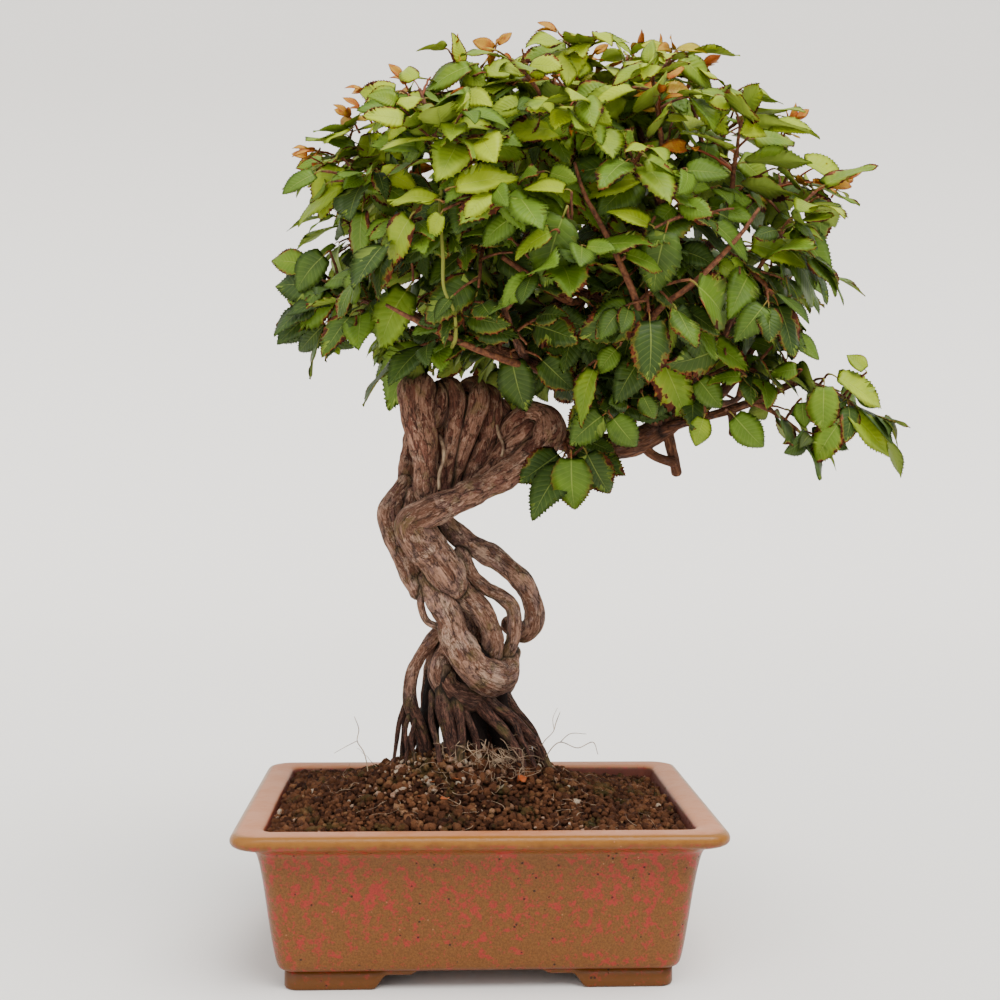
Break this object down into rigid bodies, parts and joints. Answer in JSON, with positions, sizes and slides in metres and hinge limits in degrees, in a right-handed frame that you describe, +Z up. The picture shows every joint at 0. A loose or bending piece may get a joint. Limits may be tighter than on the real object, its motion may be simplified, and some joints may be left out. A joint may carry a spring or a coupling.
{
  "type": "potted hornbeam bonsai",
  "caption": "Hornbeam bonsai with a braided, looping trunk and a rounded leafy crown, in a mound of soil in a rectangular glazed pot on bracket feet.",
  "frame": {"origin": "under the middle of the whole object's box, on the surface that the pot stands on", "axes": "+Z up along the trunk, +X to the right along the pot's long side as seen from the front, +Y towards the back"},
  "size_m": [0.4278, 0.3066, 0.6063],
  "materials": {
    "glaze": "satin",
    "soil": "matte",
    "bark": "matte",
    "leaf": "satin",
    "mesh": "matte"
  },
  "bodies": {
    "root": {"drain_screen_left": "mesh", "drain_screen_right": "mesh", "pot": "glaze", "soil": "soil", "spray_01": "leaf", "spray_02": "leaf", "spray_03": "leaf", "spray_04": "leaf", "spray_05": "leaf", "spray_06": "leaf", "spray_07": "leaf", "spray_08": "leaf", "spray_09": "leaf", "spray_10": "leaf", "spray_11": "leaf", "spray_12": "leaf", "spray_13": "leaf", "spray_14": "leaf", "spray_15": "leaf", "spray_16": "leaf", "spray_17": "leaf", "spray_18": "leaf", "spray_19": "leaf", "spray_20": "leaf", "spray_21": "leaf", "spray_22": "leaf", "spray_23": "leaf", "spray_24": "leaf", "spray_25": "leaf", "spray_26": "leaf", "spray_27": "leaf", "spray_28": "leaf", "spray_29": "leaf", "spray_30": "leaf", "spray_31": "leaf", "spray_32": "leaf", "spray_33": "leaf", "spray_34": "leaf", "spray_35": "leaf", "spray_36": "leaf", "spray_37": "leaf", "spray_38": "leaf", "spray_39": "leaf", "spray_40": "leaf", "spray_41": "leaf", "spray_42": "leaf", "spray_43": "leaf", "spray_44": "leaf", "spray_45": "leaf", "spray_46": "leaf", "spray_47": "leaf", "spray_48": "leaf", "spray_49": "leaf", "spray_50": "leaf", "spray_51": "leaf", "spray_52": "leaf", "tree": "bark"}
  },
  "joints": []
}
